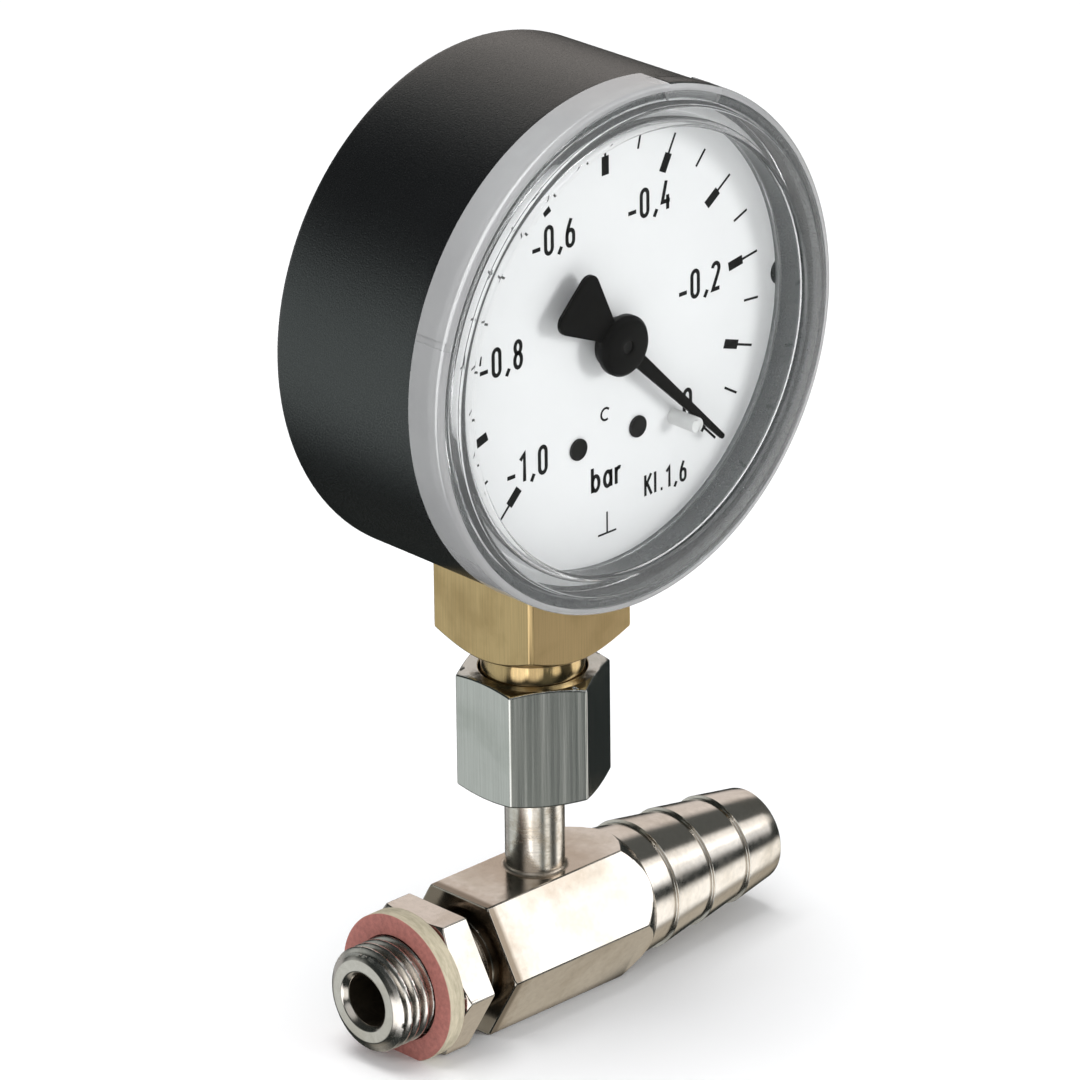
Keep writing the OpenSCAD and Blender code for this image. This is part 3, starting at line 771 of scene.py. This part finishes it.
def window_profile(kind):
    """Half the window's section, from the axis behind the pane, round the rim, to the axis."""
    front = PANE_FRONT / MM
    pane_back = front - PANE_DEPTH
    rim_front = front - 0.9
    back = RIM_BACK / MM
    rim = RIM_R / MM
    skirt_end = DIAL_FACE / MM + 0.1
    points = [(0, pane_back), (PANE_R, pane_back)]
    points += arc(PANE_R, pane_back - 0.8, 0.8, 0.8, 75, 0, 5)
    points += [(SKIRT_IN, skirt_end), (SKIRT_OUT - 0.05, skirt_end)]
    points += [(SKIRT_OUT, skirt_end + 0.3), (SKIRT_OUT, back)]
    if kind == "notch":
        lip = rim_front - 0.25
        points += [(30.0, back), (30.0, lip), (rim - 0.1, lip)]
        points += [(rim - 0.12 - 0.1 * i, rim_front - 0.2 + 0.04 * i) for i in range(6)]
    else:
        dent = 0.14 if kind == "seam" else 0
        points += [(rim - 0.15, back), (rim - dent, back + 0.15), (rim - dent, rim_front - 0.6)]
        points += arc(rim - 0.6 - dent, rim_front - 0.6 - dent, 0.6, 0.6, 15, 90, 5)
    points += [(31.35, rim_front), (31.25, rim_front - 0.14), (31.1, rim_front - 0.02)]
    points += [(30.6, rim_front), (30.45, rim_front - 0.1), (30.25, rim_front - 0.04)]
    points += [(29.85, front - 0.3)]
    points += arc(29.45, front - 0.32, 0.32, 0.32, 10, 90, 4)
    points += [(28.0, front)]
    points += arc(27.55, front - 0.22, 0.3, 0.22, 80, 175, 4)
    points += [(27.1, front - PANE_SINK), (0, front - PANE_SINK)]
    return points


def window_columns():
    zones = ((NOTCH - NOTCH_HALF, NOTCH + NOTCH_HALF, "notch"),
             (SEAM - SEAM_HALF, SEAM + SEAM_HALF, "seam"))
    marks = [360 * i / 216 for i in range(216)]
    for lo, hi, _ in zones:
        marks += [lo - 0.02, lo + 0.02, hi - 0.02, hi + 0.02]
    columns = []
    for degrees in sorted(marks):
        kind = next((k for lo, hi, k in zones if lo <= degrees <= hi), "plain")
        columns.append((math.radians(degrees), window_profile(kind)))
    return columns


def make_window():
    bm = lathe(on_gauge_axis, window_columns(), False)
    window = make_object("clear_window", bm, [clear_rim, clear_pane, milky_rim], 24)
    for face in window.data.polygons:
        off_axis = math.hypot(face.center.x - STEM_X, face.center.z - GAUGE_Z) / MM
        depth = (face.center.y + PANE_FRONT) / MM
        in_pane = min(abs(depth - PANE_SINK), abs(depth - PANE_DEPTH)) < 0.05
        if in_pane and off_axis < PANE_R and abs(face.normal.y) > 0.999:
            face.material_index = 1
        elif off_axis > MILKY_FROM:
            face.material_index = 2
    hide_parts("window")
    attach(window, "window")


make_window()

# ---------------------------------------------------------------- printing on the dial

INK_LOW = DIAL_FACE / MM - 0.01
INK_HIGH = DIAL_FACE / MM + 0.03
ZERO_ANGLE = -45
STEP_ANGLE = 27


def ring(cx, cy, rx, ry, steps):
    """A closed outline."""
    return True, arc(cx, cy, rx, ry, 0, 360, steps)[:-1]


def oval(cx, top, bottom, rx, ry, steps):
    """A closed outline with straight sides between a bow at the top and one at the bottom."""
    return True, arc(cx, top, rx, ry, 0, 180, steps) + arc(cx, bottom, rx, ry, 180, 360, steps)


def line(*points):
    return False, list(points)


def upright(x, top=1.05, bottom=-0.05):
    return line((x, top), (x, bottom))


# Each sign's width and its strokes, in a cell one unit high
SIGNS = {
    "-": (0.39, [line((0, 0.29), (0.39, 0.29))]),
    ",": (0.2, [line((0.19, 0.09), (0.05, -0.17))]),
    ".": (0.12, [line((0.0, 0.0), (0.12, 0.0))]),
    "0": (0.33, [oval(0.165, 0.79, 0.21, 0.165, 0.21, 10)]),
    "1": (0.22, [line((0.0, 0.80), (0.2, 1.0), (0.2, -0.05))]),
    "2": (0.33, [line(*arc(0.165, 0.80, 0.165, 0.20, 170, -12, 9),
                      (0.28, 0.60), (0.01, 0.0), (0.35, 0.0))]),
    "4": (0.36, [line((0.2, 1.05), (0.0, 0.27), (0.38, 0.27)), upright(0.27, 0.50)]),
    "6": (0.33, [oval(0.165, 0.40, 0.20, 0.165, 0.20, 9),
                 line((0.0, 0.40), (0.02, 0.56), (0.09, 0.76), (0.21, 1.03))]),
    "8": (0.33, [ring(0.165, 0.775, 0.145, 0.225, 18), ring(0.165, 0.275, 0.165, 0.275, 18)]),
    "b": (0.4, [upright(0.0), ring(0.19, 0.33, 0.19, 0.33, 20)]),
    "a": (0.38, [upright(0.38, 0.71), ring(0.19, 0.33, 0.19, 0.33, 20)]),
    "r": (0.26, [upright(0.0, 0.71), (False, arc(0.17, 0.46, 0.17, 0.2, 180, 60, 6))]),
    "K": (0.4, [upright(0.0), line((0.4, 1.05), (0.02, 0.45)), line((0.12, 0.60), (0.42, -0.05))]),
    "l": (0.1, [upright(0.0)]),
}


def letter(bm, text, u, v, height, stroke, gap):
    """Draws text with its left end at u and its foot at v."""
    scale = height - stroke
    x = u
    for sign in text:
        width, strokes = SIGNS[sign]
        for closed, points in strokes:
            moved = [
                (x + stroke / 2 + px * scale, v + stroke / 2 + py * scale) for px, py in points
            ]
            ribbon(bm, on_gauge, moved, stroke, INK_LOW, INK_HIGH, closed)
        x += width * scale + stroke + gap


def radial(bm, degrees, r0, r1, width):
    """A stroke of the scale, from one radius to another."""
    a = math.radians(degrees)
    ends = [(r0 * math.cos(a), r0 * math.sin(a)), (r1 * math.cos(a), r1 * math.sin(a))]
    ribbon(bm, on_gauge, ends, width, INK_LOW, INK_HIGH)


def print_piece(name, draw):
    """One piece of raised print, which rides with the dial."""
    bm = bmesh.new()
    draw(bm)
    piece = make_object(name, bm, [ink_black])
    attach(piece, "head")


def draw_scale(bm):
    for i in range(11):
        degrees = ZERO_ANGLE + STEP_ANGLE * i
        radial(bm, degrees, 20.55, 22.9, 1.15)
        radial(bm, degrees, 22.9, 25.4, 0.30)
        if i < 10:
            radial(bm, degrees + STEP_ANGLE / 2, 22.95, 25.3, 0.30)


def draw_numbers(bm):
    for text, u, v in (
        ("-1,0", -16.65, -13.95), ("-0,8", -20.8, 0.45), ("-0,6", -12.16, 13.15),
        ("-0,4", 3.45, 13.4), ("-0,2", 11.75, 0.85), ("0", 12.5, -13.9),
    ):
        letter(bm, text, u, v, 3.78, 0.50, 0.36)


def draw_words(bm):
    letter(bm, "bar", -2.8, -18.9, 3.3, 0.48, 0.38)
    letter(bm, "Kl.1,6", 6.0, -21.95, 2.8, 0.38, 0.30)


def draw_marks(bm):
    """A plain sign below the centre, and the sign for upright mounting at the bottom."""
    ribbon(bm, on_gauge, arc(-0.3, -9.4, 0.72, 0.75, 40, 300, 14), 0.28, INK_LOW, INK_HIGH)
    ribbon(bm, on_gauge, [(-1.7, -24.6), (1.3, -24.6)], 0.24, INK_LOW, INK_HIGH)
    ribbon(bm, on_gauge, [(-0.2, -24.6), (-0.2, -21.9)], 0.24, INK_LOW, INK_HIGH)


print_piece("scale_ticks", draw_scale)
print_piece("scale_numbers", draw_numbers)
print_piece("scale_words", draw_words)
print_piece("scale_marks", draw_marks)
